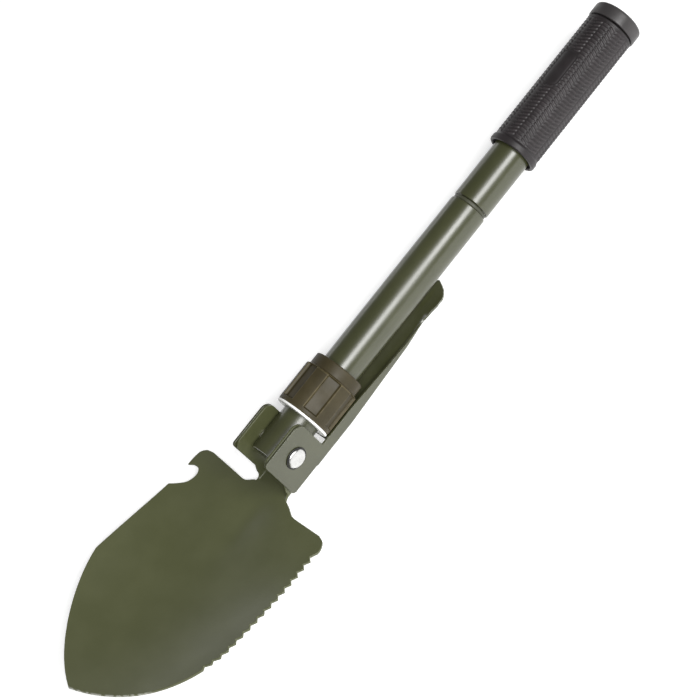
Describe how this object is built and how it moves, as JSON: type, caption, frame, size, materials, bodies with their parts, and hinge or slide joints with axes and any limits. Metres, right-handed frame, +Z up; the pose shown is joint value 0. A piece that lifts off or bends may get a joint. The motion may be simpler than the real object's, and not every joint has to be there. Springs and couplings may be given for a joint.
{
  "type": "folding shovel",
  "caption": "Small folding shovel: pointed dished blade with a saw edge and bottle opener, folding pick, screw collar lock, two-part tube handle with a rubber grip and a compass in its end cap.",
  "frame": {"origin": "middle of the footprint, on the surface that the shovel lies on", "axes": "+Y along the handle from the blade to the grip, +Z up out of the blade's hollow face, +X to the saw-toothed side"},
  "size_m": [0.1008, 0.4028, 0.0312],
  "materials": {
    "olive_paint": "semi-gloss",
    "bright_steel": "zinc plated",
    "dark_steel": "blackened",
    "brown_plastic": "satin",
    "white_nylon": "satin",
    "black_rubber": "matte",
    "grip_rubber": "matte",
    "black_plastic": "satin",
    "dial_white": "printed",
    "brass_pin": "polished",
    "needle_red": "gloss",
    "clear_lens": "clear"
  },
  "bodies": {
    "handle": {"lower_tube": "olive_paint", "joint_stud": "bright_steel", "pivot_bush": "bright_steel", "pivot_rivet": "bright_steel", "rivet_washers": "dark_steel"},
    "blade": {"blade": "olive_paint"},
    "pick": {"pick": "olive_paint"},
    "washer": {"thrust_washer": "white_nylon"},
    "collar": {"locking_collar": "brown_plastic"},
    "seal": {"joint_seal_ring": "black_rubber"},
    "upper_handle": {"upper_tube": "olive_paint", "joint_socket": "bright_steel", "grip_sleeve": "grip_rubber", "cap_socket": "black_plastic"},
    "o_ring": {"cap_o_ring": "black_rubber"},
    "cap": {"end_cap": "black_plastic", "compass_case": "black_plastic", "compass_dial": "dial_white", "compass_pivot": "brass_pin", "compass_lens": "clear_lens"},
    "needle": {"compass_needle": "needle_red"}
  },
  "joints": [
    {"name": "blade_fold", "type": "hinge", "parent": "handle", "child": "blade", "pos_m": [0, -0.058, 0.017], "axis": [-1, 0, 0], "range_deg": [0, 171]},
    {"name": "pick_fold", "type": "hinge", "parent": "handle", "child": "pick", "pos_m": [0, -0.058, 0.017], "axis": [-1, 0, 0], "range_deg": [0, 90]},
    {"name": "collar_travel", "type": "slide", "parent": "handle", "child": "washer", "axis": [0, 1, 0], "range_m": [-0.0036, 0.008]},
    {"name": "collar_spin", "type": "hinge", "parent": "washer", "child": "collar", "pos_m": [0, -0.058, 0.017], "axis": [0, 1, 0], "range_deg": [-650, 1442]},
    {"name": "section_travel", "type": "slide", "parent": "handle", "child": "seal", "axis": [0, 1, 0], "range_m": [0, 0.0165]},
    {"name": "section_spin", "type": "hinge", "parent": "seal", "child": "upper_handle", "pos_m": [0, -0.058, 0.017], "axis": [0, 1, 0], "range_deg": [0, 3962]},
    {"name": "cap_travel", "type": "slide", "parent": "upper_handle", "child": "o_ring", "axis": [0, 1, 0], "range_m": [0, 0.0075]},
    {"name": "cap_spin", "type": "hinge", "parent": "o_ring", "child": "cap", "pos_m": [0, -0.058, 0.017], "axis": [0, 1, 0], "range_deg": [0, 1802]},
    {"name": "needle_turn", "type": "hinge", "parent": "cap", "child": "needle", "pos_m": [0, -0.058, 0.017], "axis": [0, 1, 0], "continuous": true}
  ],
  "couplings": [
    {"joint": "collar_spin", "follows": "collar_travel", "rad_per_m": 3141.6},
    {"joint": "section_spin", "follows": "section_travel", "rad_per_m": 4188.8},
    {"joint": "cap_spin", "follows": "cap_travel", "rad_per_m": 4188.8}
  ]
}
